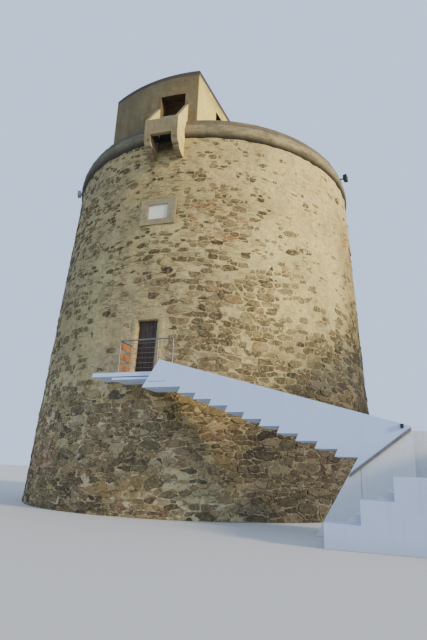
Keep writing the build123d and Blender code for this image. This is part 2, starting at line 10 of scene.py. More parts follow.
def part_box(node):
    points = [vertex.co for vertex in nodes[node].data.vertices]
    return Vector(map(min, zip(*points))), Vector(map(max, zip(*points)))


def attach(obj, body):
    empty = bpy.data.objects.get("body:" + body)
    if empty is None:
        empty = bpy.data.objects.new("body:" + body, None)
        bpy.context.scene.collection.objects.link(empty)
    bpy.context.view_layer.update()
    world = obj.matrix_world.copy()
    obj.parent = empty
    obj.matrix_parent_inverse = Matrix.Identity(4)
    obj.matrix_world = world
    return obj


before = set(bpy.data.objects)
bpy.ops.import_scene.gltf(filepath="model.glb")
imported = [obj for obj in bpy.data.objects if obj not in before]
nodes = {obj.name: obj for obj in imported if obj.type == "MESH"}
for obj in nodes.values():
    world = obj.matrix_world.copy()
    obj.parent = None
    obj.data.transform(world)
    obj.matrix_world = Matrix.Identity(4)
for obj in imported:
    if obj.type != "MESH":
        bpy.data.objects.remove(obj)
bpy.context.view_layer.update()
chance = np.random.default_rng(1731)

# Sizes that the dressing follows, in metres, taken from the frame where a node gives them
FOOT_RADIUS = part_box("tower_base")[1].x
TOWER_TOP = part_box("upper_tower")[1].z
BATTER = 0.055
DOOR_LEFT, DOOR_RIGHT = 0.04, 0.74
SILL, DOOR_HEAD = 3.89, 5.87
SURROUND_SIDE, SURROUND_TOP = 0.25, 0.34
HEAD_LINING = 0.12
PLAQUE_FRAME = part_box("plaque_frame")
DROP_MIDDLE = 0.48
GUARD_RIGHT, GUARD_SPLAY = 1.405, math.tan(math.radians(4.5))
GUARD_FACE = 5.96

# Turns in degrees from the tower's front between which the lookout passes through the band
LOOKOUT_LEFT, LOOKOUT_RIGHT = -1.3, 9.8

# The wall unrolled at its middle radius, where the stones are laid out
UNROLLED_RADIUS = 6.4
ROUND = math.tau * UNROLLED_RADIUS
RUBBLE, BRICK, CHIP = 0, 1, 2
BRICK_HEIGHT = 0.065

# Levels at which the masonry changes: rough foot below, evener middle, small stones on top
FOOT_TOP, MIDDLE_TOP = 3.7, 7.4


def wall_radius(height):
    return FOOT_RADIUS - BATTER * height


# Camera, light and floor


def add_camera():
    forward = Vector((-0.3345, 0.8942, 0.2974)).normalized()
    right = Vector((0.9366, 0.3504, 0.0)).normalized()
    up = right.cross(forward)
    roll = 0.039
    across = right * math.cos(roll) + up * math.sin(roll)
    upward = up * math.cos(roll) - right * math.sin(roll)
    data = bpy.data.cameras.new("camera")
    data.sensor_width = 36.0
    data.lens = 27.0
    data.clip_end = 500.0
    camera = bpy.data.objects.new("camera", data)
    bpy.context.scene.collection.objects.link(camera)
    camera.matrix_world = Matrix(
        (
            (across.x, upward.x, -forward.x, 7.386),
            (across.y, upward.y, -forward.y, -19.223),
            (across.z, upward.z, -forward.z, 1.33),
            (0, 0, 0, 1),
        )
    )
    bpy.context.scene.camera = camera


def add_lights():
    key = bpy.data.lights.new("key", "SUN")
    key.energy = 4.7
    key.angle = math.radians(7)
    key.color = (1.0, 0.82, 0.52)
    lamp = bpy.data.objects.new("key", key)
    bpy.context.scene.collection.objects.link(lamp)
    towards = Vector((0.93, -0.19, 0.34)).normalized()
    lamp.rotation_euler = towards.to_track_quat("Z", "Y").to_euler()
    world = bpy.data.worlds.new("studio")
    bpy.context.scene.world = world
    world.use_nodes = True
    fill = world.node_tree.nodes["Background"]
    fill.inputs["Color"].default_value = (0.57, 0.73, 1.0, 1)
    fill.inputs["Strength"].default_value = 1.3


def add_floor():
    mesh = bpy.data.meshes.new("floor")
    size, level = 160, -0.004
    corners = [(-size, -size), (size, -size), (size, size), (-size, size)]
    mesh.from_pydata([(x, y, level) for x, y in corners], [], [(0, 1, 2, 3)])
    floor = bpy.data.objects.new("floor", mesh)
    bpy.context.scene.collection.objects.link(floor)
    plain = bpy.data.materials.new("floor_paint")
    plain.use_nodes = True
    shader = plain.node_tree.nodes["Principled BSDF"]
    shader.inputs["Base Color"].default_value = (0.50, 0.49, 0.47, 1)
    shader.inputs["Roughness"].default_value = 0.9
    mesh.materials.append(plain)


# Shader groups


def linear(red, green, blue):
    """A colour picked as it looks on a screen, as the linear value that a shader takes."""

    def channel(value):
        value /= 255
        return value / 12.92 if value <= 0.04045 else ((value + 0.055) / 1.055) ** 2.4

    return (channel(red), channel(green), channel(blue), 1.0)


def shade(color):
    """A screen colour of three numbers made linear; a linear colour or a socket stays as it is."""
    return linear(*color) if isinstance(color, tuple) and len(color) == 3 else color


class Tree:
    """Adds and joins nodes in a material or a group."""

    def __init__(self, tree):
        self.tree = tree

    def add(self, kind, inputs=None, **settings):
        node = self.tree.nodes.new(kind)
        for name, value in settings.items():
            setattr(node, name, value)
        for name, value in (inputs or {}).items():
            self.feed(node.inputs[name], value)
        return node

    def feed(self, socket, value):
        if isinstance(value, bpy.types.NodeSocket):
            self.tree.links.new(value, socket)
        else:
            socket.default_value = value

    def axes(self, vector):
        return self.add("ShaderNodeSeparateXYZ", {"Vector": vector}).outputs

    def noise(self, vector, scale, detail=4.0, roughness=0.6, distortion=0.0):
        inputs = {"Vector": vector, "Scale": scale, "Detail": detail}
        inputs.update({"Roughness": roughness, "Distortion": distortion})
        return self.add("ShaderNodeTexNoise", inputs).outputs["Fac"]

    def stretch(self, vector, sizes):
        node = self.add("ShaderNodeVectorMath", {0: vector, 1: sizes}, operation="MULTIPLY")
        return node.outputs[0]

    def shrink(self, vector, size):
        """The place measured in steps of one size."""
        node = self.add("ShaderNodeVectorMath", operation="SCALE")
        self.feed(node.inputs[0], vector)
        self.feed(node.inputs["Scale"], self.math("DIVIDE", 1.0, size))
        return node.outputs[0]

    def spread(self, value, low, high, to_low=0.0, to_high=1.0):
        """Rises from the first amount to the second between two limits, and stays level outside."""
        node = self.add("ShaderNodeMapRange", {"To Min": to_low, "To Max": to_high}, clamp=True)
        self.feed(node.inputs["Value"], value)
        self.feed(node.inputs["From Min"], low)
        self.feed(node.inputs["From Max"], high)
        return node.outputs["Result"]

    def fade(self, value, low, high):
        """White up to the first limit and black from the second."""
        return self.spread(value, low, high, 1.0, 0.0)

    def math(self, operation, first, second=0.0):
        return self.add("ShaderNodeMath", {0: first, 1: second}, operation=operation).outputs[0]

    def plus(self, first, second):
        return self.math("ADD", first, second)

    def minus(self, first, second):
        return self.math("SUBTRACT", first, second)

    def times(self, first, *others):
        for other in others:
            first = self.math("MULTIPLY", first, other)
        return first

    def away(self, value, middle):
        """How far a value is from a middle, to either side."""
        return self.math("ABSOLUTE", self.minus(value, middle))

    def blend(self, amount, first, second, mode="MIX"):
        node = self.add("ShaderNodeMix", data_type="RGBA", blend_type=mode)
        self.feed(node.inputs[0], amount)
        self.feed(node.inputs[6], first)
        self.feed(node.inputs[7], second)
        return node.outputs[2]


def new_group(name, inputs, output, kind):
    """A group with one output; its first input is the place, a colour has four numbers."""
    group = bpy.data.node_groups.new(name, "ShaderNodeTree")
    group.interface.new_socket("Position", in_out="INPUT", socket_type="NodeSocketVector")
    for label, value in inputs.items():
        typed = "NodeSocketColor" if isinstance(value, tuple) else "NodeSocketFloat"
        socket = group.interface.new_socket(label, in_out="INPUT", socket_type=typed)
        socket.default_value = value
    group.interface.new_socket(output, in_out="OUTPUT", socket_type="NodeSocket" + kind)
    tree = Tree(group)
    start = group.nodes.new("NodeGroupInput").outputs
    end = group.nodes.new("NodeGroupOutput").inputs[output]
    return tree, start, end


def mottle_group():
    """Two colours in soft clouds, with finer clouds inside them."""
    sockets = {"Size": 1.0, "Light": (1, 1, 1, 1), "Dark": (0, 0, 0, 1), "Contrast": 1.0}
    tree, start, end = new_group("mottle", sockets, "Color", "Color")
    place = tree.shrink(start["Position"], start["Size"])
    coarse = tree.noise(place, 1.0, 5.0, 0.62, 0.4)
    fine = tree.noise(place, 6.3, 4.0, 0.6)
    both = tree.plus(tree.times(coarse, 0.68), tree.times(fine, 0.32))
    sharp = tree.plus(tree.times(tree.minus(both, 0.5), start["Contrast"]), 0.5)
    cloud = tree.spread(sharp, 0.0, 1.0)
    tree.feed(end, tree.blend(cloud, start["Dark"], start["Light"]))
    return tree.tree


def patches_group():
    """Mask of ragged patches: a share of the surface, with soft edges."""
    sockets = {"Size": 1.0, "Share": 0.3, "Softness": 0.08}
    tree, start, end = new_group("patches", sockets, "Mask", "Float")
    cloud = tree.noise(tree.shrink(start["Position"], start["Size"]), 1.0, 7.0, 0.66, 0.3)
    edge = tree.minus(0.72, tree.times(start["Share"], 0.44))
    low = tree.minus(edge, start["Softness"])
    high = tree.plus(edge, start["Softness"])
    tree.feed(end, tree.spread(cloud, low, high))
    return tree.tree


def runs_group():
    """Mask of stains that run down a wall."""
    sockets = {"Width": 0.15, "Length": 2.0, "Share": 0.3}
    tree, start, end = new_group("runs", sockets, "Mask", "Float")
    parts = tree.axes(start["Position"])
    joined = tree.add("ShaderNodeCombineXYZ")
    for axis, size in enumerate(("Width", "Width", "Length")):
        tree.feed(joined.inputs[axis], tree.math("DIVIDE", parts[axis], start[size]))
    cloud = tree.noise(joined.outputs[0], 1.0, 3.0, 0.55)
    edge = tree.minus(0.70, tree.times(start["Share"], 0.4))
    tree.feed(end, tree.spread(cloud, tree.minus(edge, 0.06), tree.plus(edge, 0.12)))
    return tree.tree


def grit_group():
    """Bump of coarse lumps and fine grit."""
    sockets = {"Lump Size": 0.1, "Lump Depth": 0.01, "Grit Size": 0.02, "Grit Depth": 0.003}
    tree, start, end = new_group("grit", sockets, "Normal", "Vector")
    coarse = tree.noise(tree.shrink(start["Position"], start["Lump Size"]), 1.0, 4.0)
    fine = tree.noise(tree.shrink(start["Position"], start["Grit Size"]), 1.0, 3.0)
    lumps = tree.times(coarse, start["Lump Depth"])
    height = tree.plus(lumps, tree.times(fine, start["Grit Depth"]))
    bump = tree.add("ShaderNodeBump", {"Strength": 1.0, "Distance": 1.0, "Height": height})
    tree.feed(end, bump.outputs["Normal"])
    return tree.tree


def stains_and_painted_light_group():
    """Stains, painted light and painted shade by place on the tower: a mask in metres, and what
    it leaves of the colour.

    Painted shade of the surroundings darkens the foot to the right of a slanting edge, where the
    stair's cast shadow ends, with painted gold sunlight along that edge and painted shade on the
    low foot to its left. The wall round the door is patched, and the left side is darker with
    weathering and painted shade. The top is darker in the middle and has painted sunlight to the
    right, a painted shadow lies down the tower's far right side, and painted shade fills the hole
    between the lookout's corbels.
    """
    tree, start, end = new_group("stains_and_painted_light", {"Color": (1, 1, 1, 1)}, "Color", "Color")
    spread, fade, times = tree.spread, tree.fade, tree.times
    x, y, z = tree.axes(start["Position"])
    far_right = tree.math("MAXIMUM", tree.minus(x, 3.2), 0.0)
    rise = tree.minus(z, times(far_right, 1.25))
    slant = tree.plus(x, times(z, 0.74))
    # Painted shade of the surroundings, darkening the foot from where the stair's cast shadow ends
    painted_foot_shade = times(fade(rise, 1.5, 4.2), spread(x, -1.2, 4.0), spread(slant, 3.35, 4.05))
    # Painted gold sunlight along the edge of the stair's cast shadow
    painted_gold_sunlight = times(spread(slant, 2.7, 3.4), spread(z, 1.4, 2.8), fade(z, 3.4, 4.0))
    # Painted shade on the low foot to the left
    painted_low_shade = times(fade(z, 1.2, 2.6), fade(x, 0.2, 1.8))
    patched = times(fade(tree.away(x, 0.9), 1.7, 2.5), spread(z, 3.9, 4.3), fade(z, 7.0, 8.4))
    # Weathering and painted shade on the left side
    lee_stain_and_shade = times(fade(x, -4.5, 4.4), spread(z, 2.0, 5.0))
    high = spread(z, 8.5, 10.0)
    dull = times(high, spread(x, -2.5, -0.5), fade(x, 2.6, 4.4))
    # Painted sunlight on the right of the top
    painted_top_sunlight = times(high, spread(x, 3.2, 4.8))
    uneven = spread(tree.noise(start["Position"], 1.3, 5.0, 0.65), 0.35, 0.6, 0.35, 1.0)
    # Painted shadow down the tower's far right side
    painted_side_shadow = times(spread(x, 5.0, 5.5), spread(y, -2.4, -1.5), fade(y, 0.8, 2.2))
    painted_side_shadow = times(painted_side_shadow, fade(z, 10.4, 11.8), uneven)
    # Painted shade in the hole between the lookout's corbels
    between = fade(tree.away(x, DROP_MIDDLE), 0.42, 0.56)
    painted_hole_shade = times(between, fade(y, -5.0, -4.8), spread(z, 12.0, 12.35))
    color = start["Color"]
    for mask, left in (
        (painted_foot_shade, (0.27, 0.30, 0.40, 1)),
        (painted_gold_sunlight, (0.97, 0.90, 0.77, 1)),
        (painted_low_shade, (0.74, 0.72, 0.72, 1)),
        (patched, (0.81, 0.80, 0.88, 1)),
        (lee_stain_and_shade, (0.53, 0.52, 0.60, 1)),
        (dull, (0.91, 0.87, 0.84, 1)),
        (painted_top_sunlight, (1.10, 1.06, 1.01, 1)),
        (painted_side_shadow, (0.49, 0.45, 0.41, 1)),
        (painted_hole_shade, (0.20, 0.18, 0.16, 1)),
    ):
        color = tree.blend(mask, color, left, "MULTIPLY")
    tree.feed(end, color)
    return tree.tree


MOTTLE, PATCHES, RUNS, GRIT = mottle_group(), patches_group(), runs_group(), grit_group()
STAINS_AND_PAINTED_LIGHT = stains_and_painted_light_group()


class Coat(Tree):
    """A material under construction: a base colour, and what is laid over it."""

    def __init__(self, name, roughness=0.85, metallic=0.0, specular=0.3):
        self.material = bpy.data.materials.new(name)
        self.material.use_nodes = True
        super().__init__(self.material.node_tree)
        self.shader = self.tree.nodes["Principled BSDF"]
        self.shader.inputs["Roughness"].default_value = roughness
        self.shader.inputs["Metallic"].default_value = metallic
        self.shader.inputs["Specular IOR Level"].default_value = specular
        self.place = self.add("ShaderNodeTexCoord").outputs["Object"]
        self.x, self.y, self.z = self.axes(self.place)
        self.base = None

    def use(self, group, place, inputs):
        """One of the groups, placed in this material with its own values."""
        inputs = {"Position": place or self.place, **inputs}
        return self.add("ShaderNodeGroup", node_tree=group, inputs=inputs).outputs[0]

    def facing(self, axis):
        """How far the surface faces along one axis, from -1 to 1."""
        return self.axes(self.add("ShaderNodeNewGeometry").outputs["Normal"])[axis]

    def clouds(self, size, light, dark, contrast=2.0):
        colors = {"Light": shade(light), "Dark": shade(dark)}
        return self.use(MOTTLE, None, {"Size": size, "Contrast": contrast, **colors})

    def patches(self, size, share, softness, place=None):
        return self.use(PATCHES, place, {"Size": size, "Share": share, "Softness": softness})

    def lay(self, mask, color, amount=1.0):
        """Lay a colour over the base where the mask is white."""
        self.base = self.blend(self.times(mask, amount), self.base, shade(color))

    def spots(self, size, share, softness, color, amount, place=None):
        """Lay a colour over the base in ragged patches."""
        self.lay(self.patches(size, share, softness, place), color, amount)

    def drips(self, width, length, share, color, amount):
        """Lay a colour over the base in stains that run down."""
        runs = self.use(RUNS, None, {"Width": width, "Length": length, "Share": share})
        self.lay(runs, color, amount)

    def above(self, low, high):
        """White above the second level and black below the first."""
        return self.spread(self.z, low, high)

    def below(self, low, high):
        return self.fade(self.z, low, high)

    def stains_and_painted_light(self):
        self.base = self.use(STAINS_AND_PAINTED_LIGHT, None, {"Color": self.base})

    def done(self, lumps=None, grit=None, dents=None, dent_depth=0.0):
        """The material with its colour and its bump; lumps and grit have a size and a depth."""
        self.feed(self.shader.inputs["Base Color"], self.base)
        if grit:
            sizes = {"Lump Size": lumps[0], "Lump Depth": lumps[1]}
            sizes.update({"Grit Size": grit[0], "Grit Depth": grit[1]})
            normal = self.use(GRIT, None, sizes)
            if dents is not None:
                pressed = self.add("ShaderNodeBump", {"Height": dents, "Normal": normal})
                pressed.invert = True
                pressed.inputs["Strength"].default_value = 1.0
                pressed.inputs["Distance"].default_value = dent_depth
                normal = pressed.outputs["Normal"]
            self.feed(self.shader.inputs["Normal"], normal)
        return self.material


# Materials


def lime_mortar():
    """Yellow lime mortar and render, greyer low down, with eroded level joints whose dark colour
    is partly painted shade; the shared group adds stains and painted light and shade.
    """
    coat = Coat("lime_mortar", 0.94)
    broad = coat.clouds(1.7, (234, 217, 150), (192, 174, 114), 2.4)
    fine = coat.clouds(0.15, (240, 222, 152), (144, 128, 82), 3.2)
    coat.base = coat.blend(0.5, broad, fine)
    coat.spots(2.4, 0.55, 0.12, (160, 150, 108), 0.4)
    low = coat.below(2.6, 5.2)
    coat.lay(low, (172, 156, 116), 0.55)
    lime_and_sunlit = coat.times(coat.patches(0.45, 0.46, 0.07), low)
    coat.lay(lime_and_sunlit, (214, 200, 166), 0.75)
    # Dark crevices low down, pressed in by the bump; their dark colour is partly painted shade
    crevice = coat.times(coat.patches(0.13, 0.36, 0.05), coat.spread(low, 0.0, 1.0, 0.35, 1.0))
    coat.lay(crevice, (74, 62, 46), 0.66)
    coat.spots(1.1, 0.32, 0.14, (206, 176, 112), 0.25)
    coat.drips(0.3, 2.6, 0.35, (138, 122, 86), coat.spread(coat.z, 9.0, 12.7, 0.06, 0.30))
    coat.spots(0.09, 0.24, 0.04, (118, 100, 66), 0.4)
    # Slits of eroded level joints, pressed in by the bump; their dark colour is partly painted
    # shade
    rows = coat.patches(0.30, 0.36, 0.03, coat.stretch(coat.place, (1.0, 1.0, 7.0)))
    worn = coat.patches(1.2, 0.52, 0.08)
    slits = coat.times(rows, worn, coat.above(4.0, 6.0))
    rightward = coat.plus(coat.x, coat.times(coat.y, -0.35))
    slits = coat.times(slits, coat.spread(rightward, 3.4, 6.0, 1.0, 0.5))
    coat.lay(slits, (112, 95, 62), 0.6)
    coat.stains_and_painted_light()
    dents = coat.math("MAXIMUM", slits, crevice)
    return coat.done((0.11, 0.018), (0.026, 0.009), dents, dent_depth=0.014)


def rubble_stone():
    """Stones with their own tone, painted shade at their edges and lime cover from the mesh, with
    grain, growth and stains, and the shared stains and painted light and shade.
    """
    coat = Coat("rubble_stone", 0.9)
    told = coat.add("ShaderNodeAttribute", attribute_name="tone").outputs
    veins = coat.clouds(0.13, (1.38, 1.34, 1.25, 1), (0.58, 0.57, 0.56, 1), 2.6)
    coat.base = coat.blend(1.0, told["Color"], veins, "MULTIPLY")
    coat.spots(1.4, 0.32, 0.1, (84, 74, 56), 0.3)
    coat.spots(0.5, 0.25, 0.08, (124, 118, 80), 0.3)
    stained = coat.times(coat.patches(0.09, 0.36, 0.04), coat.below(2.8, 4.2))
    coat.lay(stained, (62, 54, 42), 0.6)
    pitted = coat.patches(0.07, 0.30, 0.04, coat.stretch(coat.place, (1.0, 1.0, 2.5)))
    coat.lay(pitted, (84, 72, 50), 0.35)
    high = coat.above(2.6, 5.6)
    lime = coat.blend(high, linear(178, 162, 124), linear(214, 197, 138))
    thin = coat.patches(0.08, 0.40, 0.04)
    thick = coat.patches(0.42, 0.34, 0.04)
    coat.lay(coat.math("MAXIMUM", thin, thick), lime, told["Alpha"])
    coat.stains_and_painted_light()
    return coat.done(lumps=(0.06, 0.018), grit=(0.018, 0.007))


def band_cement():
    """Cement of the parapet band: streaked level, green and pink, dark along its top, with a
    painted shadow under its lower edge and painted shade on its left side.
    """
    coat = Coat("band_cement", 0.93)
    level = coat.stretch(coat.place, (1.0, 1.0, 4.5))
    coat.base = coat.clouds(0.8, (186, 173, 128), (112, 102, 72), 2.6)
    coat.spots(0.7, 0.45, 0.06, (98, 88, 66), 0.55, level)
    coat.spots(0.30, 0.32, 0.05, (150, 150, 90), 0.5)
    coat.spots(0.26, 0.28, 0.05, (158, 122, 100), 0.5, level)
    coat.spots(0.10, 0.25, 0.04, (70, 62, 48), 0.5)
    crown = coat.times(coat.above(13.20, 13.38), coat.patches(0.5, 0.85, 0.1, level))
    coat.lay(crown, (98, 82, 64), 0.8)
    seam = coat.times(coat.above(13.24, 13.29), coat.below(13.30, 13.35))
    coat.lay(coat.times(seam, coat.patches(0.6, 0.6, 0.05)), (62, 54, 42), 0.6)
    # Painted shadow under the band's lower edge, where it curves under
    coat.lay(coat.below(12.74, 12.98), (52, 46, 36), 0.9)
    # Painted shade on the band's left side
    coat.lay(coat.fade(coat.x, -4.6, 5.0), (68, 64, 57), 0.9)
    # Painted shade in the hole between the lookout's corbels
    painted_hole_shade = coat.fade(coat.away(coat.x, DROP_MIDDLE), 0.46, 0.56)
    coat.lay(coat.times(painted_hole_shade, coat.fade(coat.y, -5.0, -4.8)), (40, 34, 28), 0.85)
    return coat.done(lumps=(0.14, 0.03), grit=(0.025, 0.008))


def guardhouse_render():
    """Cement render, stained dull, with painted sunlight in light yellow on the right side."""
    coat = Coat("guardhouse_render", 0.92)
    # A light yellow copy of the render, for painted sunlight on the right side
    coat.base = coat.clouds(0.9, (236, 218, 130), (206, 186, 100), 2.4)
    coat.spots(0.4, 0.3, 0.1, (168, 150, 84), 0.4)
    coat.spots(0.09, 0.30, 0.05, (150, 128, 72), 0.35)
    painted_sun_yellow = coat.base
    coat.base = coat.clouds(1.3, (128, 116, 84), (92, 82, 58), 2.4)
    upright = coat.stretch(coat.place, (1.0, 1.0, 0.40))
    coat.spots(0.55, 0.40, 0.10, (104, 80, 48), 0.6, upright)
    coat.drips(0.2, 1.4, 0.3, (76, 68, 50), 0.4)
    coat.spots(0.12, 0.22, 0.05, (150, 138, 100), 0.35)
    coat.lay(coat.fade(coat.facing(2), -0.8, -0.5), (70, 52, 44), 0.9)
    # Painted sunlight laid on the right side
    splay = coat.times(coat.plus(coat.y, GUARD_FACE), -GUARD_SPLAY)
    beside = coat.plus(coat.x, splay)
    coat.lay(coat.spread(beside, GUARD_RIGHT - 0.03, GUARD_RIGHT - 0.005), painted_sun_yellow)
    top = coat.times(coat.above(15.05, 15.65), coat.patches(0.5, 0.66, 0.12))
    coat.lay(top, (78, 70, 52), 0.45)
    coat.lay(coat.above(15.60, 15.66), (70, 62, 52), 0.6)
    return coat.done(lumps=(0.22, 0.02), grit=(0.03, 0.006))


def roof_cement():
    """Grey cement roof with a dark edge and a limewashed ceiling."""
    coat = Coat("roof_cement", 0.93)
    coat.base = coat.clouds(0.6, (112, 104, 92), (74, 70, 66), 2.2)
    coat.spots(0.4, 0.3, 0.08, (132, 122, 88), 0.4)
    upward = coat.facing(2)
    coat.lay(coat.fade(upward, 0.3, 0.6), (70, 62, 58), 0.85)
    ceiling = coat.clouds(0.5, (214, 200, 180), (168, 152, 134), 2.0)
    coat.lay(coat.fade(upward, -0.8, -0.5), ceiling)
    return coat.done(lumps=(0.16, 0.02), grit=(0.03, 0.006))


def lookout_plaster():
    """Plaster of the lookout box: dull in front, with painted sunlight on its cheeks and painted
    shade inside.
    """
    coat = Coat("lookout_plaster", 0.92)
    coat.base = coat.clouds(0.5, (146, 133, 98), (110, 98, 72), 2.2)
    # Painted sunlight in light yellow on the faces that turn to the right
    painted_sun_yellow = coat.clouds(0.5, (238, 222, 142), (212, 192, 116), 2.0)
    coat.lay(coat.spread(coat.facing(0), 0.5, 0.8), painted_sun_yellow)
    coat.spots(0.2, 0.3, 0.05, (108, 96, 76), 0.35)
    coat.drips(0.09, 0.8, 0.35, (92, 84, 68), 0.25)
    # Painted shade inside the box, low down
    inside = coat.times(coat.spread(coat.y, -6.66, -6.63), coat.fade(coat.x, 0.93, 0.96))
    coat.lay(coat.times(inside, coat.below(13.0, 13.4)), (52, 44, 34))
    return coat.done(lumps=(0.09, 0.014), grit=(0.02, 0.005))


def corbel_stone():
    """Corbels of weathered stone and brick, with a light joint and painted sunlight on the
    right side.
    """
    coat = Coat("corbel_stone", 0.93)
    coat.base = coat.clouds(0.3, (158, 142, 108), (104, 90, 66), 2.4)
    level = coat.stretch(coat.place, (1.0, 1.0, 2.2))
    coat.spots(0.28, 0.26, 0.05, (122, 80, 56), 0.55, level)
    coat.spots(0.15, 0.28, 0.05, (58, 48, 38), 0.6)
    joint = coat.times(coat.above(12.08, 12.12), coat.below(12.17, 12.22))
    coat.lay(joint, (182, 168, 134), 0.6)
    # Painted sunlight in light yellow on the right side
    lime_and_sunlit = coat.times(coat.spread(coat.facing(0), 0.5, 0.8), coat.spread(coat.x, 0.8, 0.95))
    coat.lay(lime_and_sunlit, coat.clouds(0.3, (232, 214, 138), (196, 176, 106), 2.2), 0.9)
    return coat.done(lumps=(0.08, 0.03), grit=(0.02, 0.008))


def plaque_render():
    coat = Coat("plaque_render", 0.92)
    coat.base = coat.clouds(0.45, (164, 152, 116), (122, 112, 84), 2.0)
    coat.spots(0.3, 0.35, 0.08, (98, 92, 74), 0.45)
    return coat.done(lumps=(0.08, 0.012), grit=(0.02, 0.005))


def plaque_marble():
    coat = Coat("plaque_marble", 0.55)
    coat.base = coat.clouds(0.35, (226, 222, 204), (204, 199, 180), 1.8)
    coat.drips(0.05, 0.3, 0.3, (158, 152, 138), 0.25)
    return coat.done(lumps=(0.05, 0.002), grit=(0.01, 0.0008))


def paving_stone():
    coat = Coat("paving_stone", 0.9)
    slab = {"Color1": linear(168, 152, 124), "Color2": linear(142, 128, 104)}
    slab.update({"Brick Width": 0.5, "Row Height": 0.4, "Scale": 1.0})
    joint = {"Mortar": linear(100, 92, 76), "Mortar Size": 0.008}
    inputs = {"Vector": coat.place, **slab, **joint}
    slabs = coat.add("ShaderNodeTexBrick", inputs).outputs["Color"]
    worn = coat.clouds(0.7, (1.15, 1.14, 1.1, 1), (0.7, 0.69, 0.66, 1), 2.0)
    coat.base = coat.blend(1.0, slabs, worn, "MULTIPLY")
    return coat.done(lumps=(0.2, 0.008), grit=(0.02, 0.003))


def painted_concrete(name, light, dark):
    """White paint on smooth concrete, with faint clouds and drips, splashes at the foot, and
    painted shade low down by the seats.
    """
    coat = Coat(name, 0.62, specular=0.35)
    coat.base = coat.clouds(2.2, light, dark, 1.6)
    coat.drips(0.1, 1.4, 0.22, (150, 150, 146), 0.12)
    coat.spots(0.5, 0.2, 0.06, (140, 138, 134), 0.10)
    coat.lay(coat.below(0.0, 0.30), (160, 154, 142), 0.28)
    # Painted shade, blue from the sky, low down by the seats
    painted_seat_shade = coat.times(coat.below(1.5, 2.1), coat.spread(coat.x, 4.5, 6.0))
    coat.lay(painted_seat_shade, (150, 160, 176), 0.30)
    return coat.done(lumps=(0.5, 0.006), grit=(0.015, 0.0012))


def dull_rail():
    coat = Coat("dull_rail", 0.5, metallic=0.8, specular=0.4)
    coat.base = coat.clouds(0.2, (150, 144, 134), (98, 92, 84), 2.0)
    return coat.done(lumps=(0.03, 0.0006), grit=(0.004, 0.0002))


def dark_boards():
    """Old dark timber with upright grain."""
    coat = Coat("dark_boards", 0.72)
    grain = coat.noise(coat.stretch(coat.place, (60.0, 60.0, 2.2)), 1.0, 6.0, 0.62, 0.6)
    grain = coat.spread(grain, 0.3, 0.72)
    coat.base = coat.blend(grain, linear(52, 40, 38), linear(92, 76, 68))
    coat.spots(0.35, 0.3, 0.1, (112, 98, 84), 0.4)
    return coat.done(lumps=(0.05, 0.002), grit=(0.008, 0.001))


def barrier_paint():
    """Orange-brown paint, faded and scratched."""
    coat = Coat("barrier_paint", 0.65)
    coat.base = coat.clouds(0.3, (164, 108, 68), (126, 80, 50), 2.2)
    coat.spots(0.16, 0.26, 0.05, (178, 158, 134), 0.45)
    return coat.done(lumps=(0.05, 0.002), grit=(0.008, 0.0006))


def lamp_paint():
    """Weathered light grey on the left lamp, black on the right one."""
    coat = Coat("lamp_paint", 0.5)
    coat.base = coat.clouds(0.1, (176, 178, 176), (138, 140, 140), 2.0)
    black = coat.clouds(0.1, (46, 46, 48), (26, 26, 28), 2.0)
    coat.lay(coat.spread(coat.x, -0.5, 0.5), black)
    return coat.done(lumps=(0.03, 0.0008), grit=(0.005, 0.0003))


def light_paint():
    coat = Coat("light_paint", 0.45)
    coat.base = coat.clouds(0.12, (44, 46, 48), (26, 27, 29), 2.0)
    return coat.done(lumps=(0.03, 0.0008), grit=(0.005, 0.0003))


def grey_glass():
    """Dusty glass guard in the lookout's opening, darker and rougher low down, with painted shade
    where the box shades it.
    """
    coat = Coat("grey_glass", 0.35, specular=0.25)
    coat.shader.inputs["Transmission Weight"].default_value = 0.25
    coat.shader.inputs["IOR"].default_value = 1.45
    coat.base = coat.clouds(0.5, (172, 188, 180), (132, 150, 142), 1.8)
    coat.spots(0.2, 0.3, 0.1, (156, 152, 134), 0.3)
    # Painted shade low down, with dust that makes the glass rougher there
    dust_and_painted_shade = coat.below(13.45, 13.85)
    coat.lay(dust_and_painted_shade, (34, 30, 26))
    coat.feed(coat.shader.inputs["Roughness"], coat.spread(dust_and_painted_shade, 0.0, 1.0, 0.35, 0.95))
    return coat.done()


# Mesh helpers


def add_piece(name, vertices, faces, material, body="tower", smooth=True):
    mesh = bpy.data.meshes.new(name)
    places = [tuple(map(float, vertex)) for vertex in vertices]
    mesh.from_pydata(places, [], [tuple(map(int, face)) for face in faces])
    mesh.materials.append(material)
    mesh.validate()
    if smooth:
        mesh.shade_smooth()
    piece = bpy.data.objects.new(name, mesh)
    bpy.context.scene.collection.objects.link(piece)
    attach(piece, body)
    return piece


def around(azimuth, height, proud):
    """Points on the tower's face, moved out by a little; azimuth in radians from the door side."""
    radius = wall_radius(height) + proud
    level = height + proud * BATTER
    return np.stack([np.sin(azimuth) * radius, -np.cos(azimuth) * radius, level], -1)


def sheet_faces(columns, rows, closed=True):
    """Four-sided faces of a sheet whose points run along its rows."""
    faces = []
    for row in range(rows - 1):
        for column in range(columns if closed else columns - 1):
            after = (column + 1) % columns
            start, above = row * columns, (row + 1) * columns
            faces.append((start + column, start + after, above + after, above + column))
    return faces


